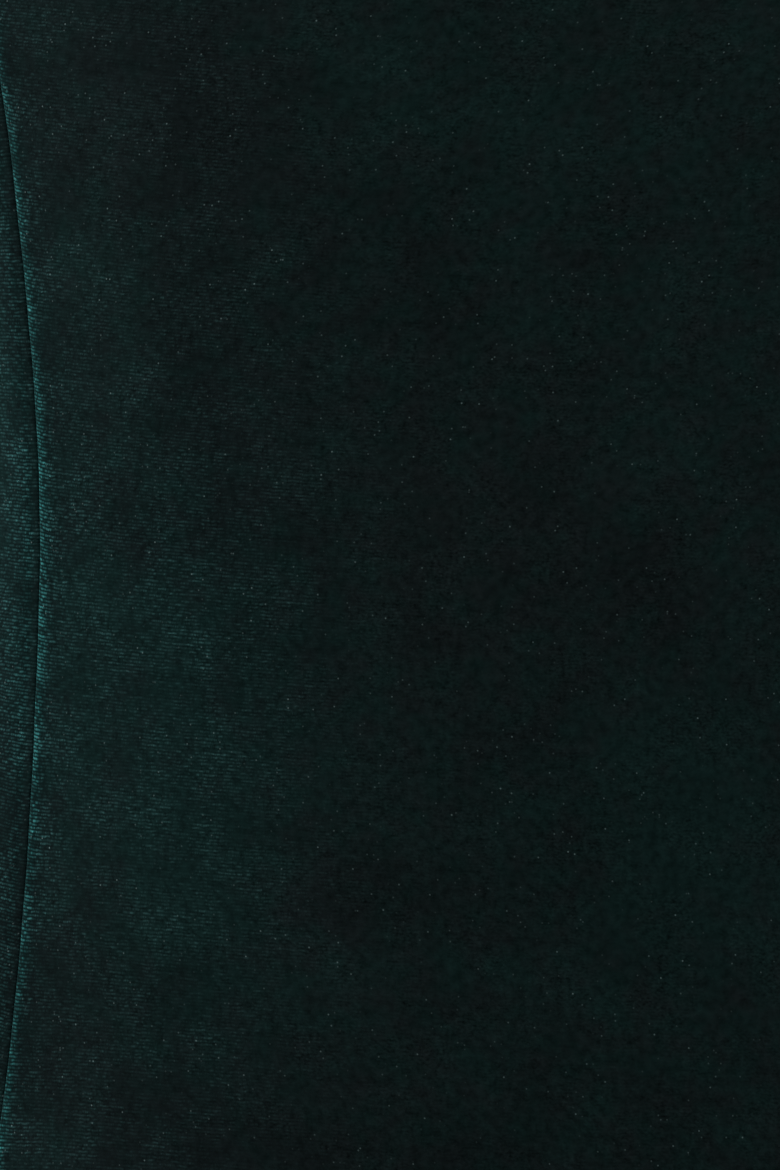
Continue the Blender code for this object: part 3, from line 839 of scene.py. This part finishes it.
BAND_WIDTH = 0.009
BAND_LAP = 0.0008  # how far it reaches over the panel's raw edge
BAND_THICKNESS = 0.0027  # of both layers, folded
BAND_LAYER = 0.0011  # of one layer, pressed
BAND_CORNERS = 24  # across the strip
BAND_ROUNDING = 0.62  # power that squares its section: 1 would be an ellipse
BAND_STEP = 0.0015  # the least from one section to the next, but for corners
EDGE_OUTSIDE, EDGE_INSIDE = 0.53, 0.75  # radians short of the seam at which its cut edges stop
EDGE_PRESSED = 0.35  # share of a layer's thickness that is left in the seam
EDGE_TAPER = 3  # places over which a cut edge thickens to a full layer
EDGE_COUNT = 90  # places along each neckline and armhole of a panel
ARMHOLE_CROWD = 1.5  # power by which an armhole's places crowd toward the underarm
CORNER_TURN = math.radians(20)  # a sharper turn is a corner
CORNER_PLACES = 2  # kept on each side of one, however close


def band_section():
    """The folded strip in section, as a closed ring and its width. The ring is the pile side, from
    the inside cut edge round the fold to the outside one, and the knit side back again, and each
    place in it is (toward the fold, outward) and how far across the strip it lies."""
    pile_side, knit_side, across = [], [], 0.0
    for k in range(BAND_CORNERS):
        sweep = (2 * math.pi - EDGE_INSIDE - EDGE_OUTSIDE) * k / (BAND_CORNERS - 1)
        angle = EDGE_INSIDE - math.pi + sweep
        from_edge = min(k, BAND_CORNERS - 1 - k) / EDGE_TAPER
        layer = BAND_LAYER * (EDGE_PRESSED + (1 - EDGE_PRESSED) * smoothstep(from_edge))
        c, s = math.cos(angle), math.sin(angle)
        c = math.copysign(abs(c) ** BAND_ROUNDING, c)
        s = math.copysign(abs(s) ** BAND_ROUNDING, s)
        place = Vector((c * BAND_WIDTH / 2, s * BAND_THICKNESS / 2))
        if pile_side:
            across += (place - pile_side[-1][0]).length
        pile_side.append((place, across))
        place = Vector((c * (BAND_WIDTH / 2 - layer), s * (BAND_THICKNESS / 2 - layer)))
        knit_side.append((place, across))
    return pile_side + knit_side[::-1], across


def edge_places(cut, side, armhole):
    """Places along a panel's neckline or armhole, from its lowest point up to the shoulder seam."""
    start = UNDERARM if armhole else -cut.neck_depth
    places = []
    for i in range(EDGE_COUNT + 1):
        share = (i / EDGE_COUNT) ** (ARMHOLE_CROWD if armhole else 1)
        level = start * (1 - share)
        width = armhole_width(cut, level) if armhole else neck_width(cut, level)
        places.append((turn_of(cut, side, angle_at(width, level)), level))
    return places


def corners_of(points):
    """Which points of a closed run turn sharply."""
    found = []
    for i, point in enumerate(points):
        before = point - points[i - 1]
        after = points[(i + 1) % len(points)] - point
        if before.length > 0 and after.length > 0 and before.angle(after) > CORNER_TURN:
            found.append(i)
    return found


def make_band(name, places, middle):
    """A folded strip joined into a ring along a closed run of places, on the side that faces the
    opening's middle, and the size that its strip shows: its width and length."""
    section, strip_width = band_section()
    points = [gown_point(turn, level) for turn, level in places]
    corners, kept = corners_of(points), [0]
    for i in range(1, len(points)):
        near_corner = any(abs(i - corner) <= CORNER_PLACES for corner in corners)
        if near_corner or (points[i] - points[kept[-1]]).length > BAND_STEP:
            kept.append(i)
    places = [places[i] for i in kept]
    points = [points[i] for i in kept]
    lengths = [(b - a).length for a, b in zip(points, points[1:] + points[:1])]
    shape = bmesh.new()
    rings, grain, pile_and_painted_light_at = [], {}, {}
    for i, point in enumerate(points):
        normal = gown_normal(*places[i])
        before = (point - points[i - 1]).normalized()
        after = (points[(i + 1) % len(points)] - point).normalized()
        across = (before + after).cross(normal).normalized()
        if across.dot(middle - point) < 0:
            across.negate()
        mitre = 1 / max(0.3, math.cos(before.angle(after) / 2))
        to_middle = abs(point.x) / max(abs(across.x), 1e-6)  # where both sides meet in a V
        run = sum(lengths[:i])
        # the stitches and the cloth's own unevenness make the fold fuller and thinner by turns
        full = 1 + 0.05 * noise.noise(point * 60) + 0.03 * math.sin(run * 900)
        ring = []
        for (sideways, through), across_strip in section:
            out = min((BAND_WIDTH / 2 - BAND_LAP + sideways) * mitre, to_middle)
            vertex = shape.verts.new(point + across * out + normal * (through * full - WALL / 2))
            ring.append(vertex)
            grain[vertex] = (run, across_strip)
            # the pile parts all along the stretched strip, so its courses carry painted highlights,
            # and a highlight is painted over its fold, where the pile splays
            rounded = abs(sideways) / (BAND_WIDTH / 2)
            pile_and_painted_light_at[vertex] = (0.7, 0.25 * rounded**6, 0.5, 0.5)
        rings.append(ring)
    for ring, following in zip(rings, rings[1:] + rings[:1]):
        for k in range(len(ring)):
            j = (k + 1) % len(ring)
            face = shape.faces.new([ring[k], ring[j], following[j], following[k]])
            if BAND_CORNERS <= k < len(ring) - 1:
                face.material_index = 1
    length = sum(lengths)
    return finish_cloth(name, shape, grain, pile_and_painted_light_at, length), (strip_width, length)


# the same velvet, a shade darker where folding and stitching have pressed its pile
band_pile = velvet("velvet band pile", "#0E1D1C", "#13191A", "#1B2B2B")

# the neckline runs up the left of the front, down the left of the back, and home on the right
left_front, left_back = edge_places(FRONT, 1, False), edge_places(BACK, 1, False)
right_front, right_back = edge_places(FRONT, -1, False), edge_places(BACK, -1, False)
neckline = left_front + left_back[-2::-1] + right_back[1:] + right_front[-2:0:-1]
runs = {"neck_band": (neckline, Vector((0, 0, -STRAP_ARCH)))}
for side, word in ((1, "left"), (-1, "right")):
    armhole = edge_places(FRONT, side, True) + edge_places(BACK, side, True)[-2:0:-1]
    runs[f"armhole_band_{word}"] = (armhole, Vector((side * SHOULDER_OUTER, 0, UNDERARM / 2)))
for name, (places, middle) in runs.items():
    band, (width, length) = make_band(name, places, middle)
    band.name = f"{name}_fold"
    band.data.materials.append(band_pile)
    band.data.materials.append(backing)
    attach(band, "root")
    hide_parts(name)

# -------------------------------------------------------------------------------------------------
# Studio
# A pale floor just below the hem, a soft key light from the wearer's back right and a fill from the
# left, and a pale room. The gown is held at the shoulders, so its hem hangs clear of the floor.
# -------------------------------------------------------------------------------------------------

FLOOR_BELOW_HEM = 0.014

bpy.ops.object.select_all(action="DESELECT")
bpy.ops.mesh.primitive_plane_add(size=60, location=(0, 0, HEM - FLOOR_BELOW_HEM))
floor = bpy.context.object
floor.name = "studio_floor"
# seamless background paper, rolled and uncoated, so matt and a warm white
paper, _, shader = new_material("pale studio paper")
shader.inputs["Base Color"].default_value = linear("#E9E8E5")
shader.inputs["Roughness"].default_value = 0.9
floor.data.materials.append(paper)

world = bpy.data.worlds.new("pale room")
world.use_nodes = True
background = world.node_tree.nodes["Background"]
background.inputs["Color"].default_value = linear("#F2F3F4")
background.inputs["Strength"].default_value = 0.50
bpy.context.scene.world = world


def direction(azimuth, elevation):
    """The way from the gown to a place round it, in degrees from straight in front toward the
    wearer's left, and above level."""
    turn, lift = math.radians(azimuth), math.radians(elevation)
    return Vector(
        (math.sin(turn) * math.cos(lift), -math.cos(turn) * math.cos(lift), math.sin(lift))
    )


LIGHT_AIM = Vector((0, 0, -0.55))  # in the middle of the hips
LIGHT_DISTANCE, LIGHT_SIZE = 3.2, 1.0


def softbox(name, azimuth, elevation, power):
    """A square soft light that looks at the gown from a distance and isn't seen itself."""
    toward = direction(azimuth, elevation)
    lamp = bpy.data.lights.new(name, "AREA")
    lamp.size = LIGHT_SIZE
    lamp.energy = power
    holder = bpy.data.objects.new(name, lamp)
    holder.location = LIGHT_AIM + toward * LIGHT_DISTANCE
    holder.rotation_euler = toward.to_track_quat("Z", "Y").to_euler()
    holder.visible_camera = False
    bpy.context.scene.collection.objects.link(holder)


softbox("key", -135, 30, 95)
softbox("fill", 78, 25, 65)

# The camera looks at the waist from the wearer's right front, a little from above, so closely that
# only cloth shows, with the side seam near the left edge.
AZIMUTH, ELEVATION, TILT = -40, 7.5, 0.7
PICTURE_WIDTH, PICTURE_HEIGHT = 780, 1170
PICTURE_SCALE = 0.00015  # metres for one of the picture's points, at the side seam
SEAM_ACROSS, WAIST_DOWN = 36, 600  # where in the picture the side seam crosses the waist
LENS, SENSOR = 300, 36
back_way = direction(AZIMUTH, ELEVATION)
right_way = Vector((math.cos(math.radians(AZIMUTH)), math.sin(math.radians(AZIMUTH)), 0))
up_way = back_way.cross(right_way)
aim = gown_point(-math.pi / 2, WAIST)
aim += right_way * (PICTURE_WIDTH / 2 - SEAM_ACROSS) * PICTURE_SCALE
aim += up_way * (WAIST_DOWN - PICTURE_HEIGHT / 2) * PICTURE_SCALE
lens = bpy.data.cameras.new("camera")
lens.lens, lens.sensor_width, lens.clip_start, lens.clip_end = LENS, SENSOR, 0.05, 100
camera = bpy.data.objects.new("camera", lens)
camera.location = aim + back_way * (PICTURE_HEIGHT * PICTURE_SCALE / SENSOR * LENS)
tilt = Quaternion((0, 0, 1), math.radians(TILT))
camera.rotation_euler = (back_way.to_track_quat("Z", "Y") @ tilt).to_euler()
bpy.context.scene.collection.objects.link(camera)
bpy.context.scene.camera = camera
bpy.context.scene.view_settings.view_transform = "Standard"
